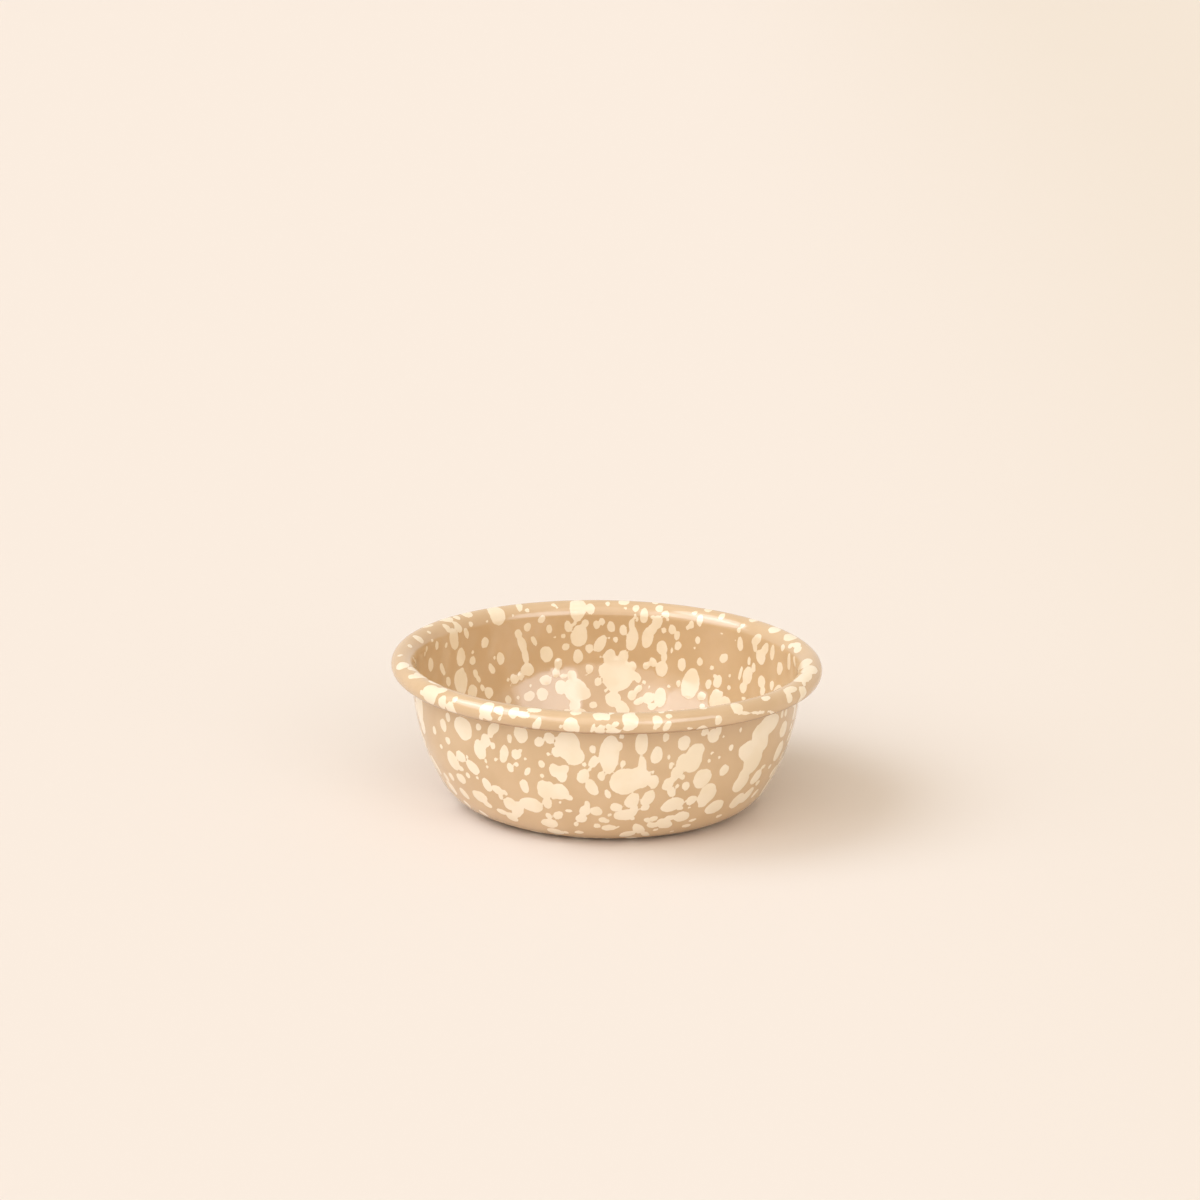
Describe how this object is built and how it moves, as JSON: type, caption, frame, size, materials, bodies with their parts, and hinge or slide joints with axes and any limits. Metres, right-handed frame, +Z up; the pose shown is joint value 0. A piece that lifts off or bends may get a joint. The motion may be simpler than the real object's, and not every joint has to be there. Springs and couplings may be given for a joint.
{
  "type": "enamel bowl",
  "caption": "Round shallow bowl of pressed steel with a flat base, curved wall and rolled-over rim, coated inside and out with glossy splattered enamel, for serving food.",
  "frame": {"origin": "middle of the flat base, on the surface that the bowl stands on", "axes": "+Z up along the bowl's axis; +X and +Y are free, as the bowl is round"},
  "size_m": [0.152, 0.152, 0.053],
  "materials": {
    "steel": "bare low-carbon sheet, covered by the enamel",
    "enamel_inside": "glossy taupe glass enamel with cream splatter",
    "enamel_outside": "glossy taupe glass enamel with cream splatter"
  },
  "bodies": {
    "root": {"steel_pressing": "steel", "inside_enamel": "enamel_inside", "outside_enamel": "enamel_outside"}
  },
  "joints": []
}
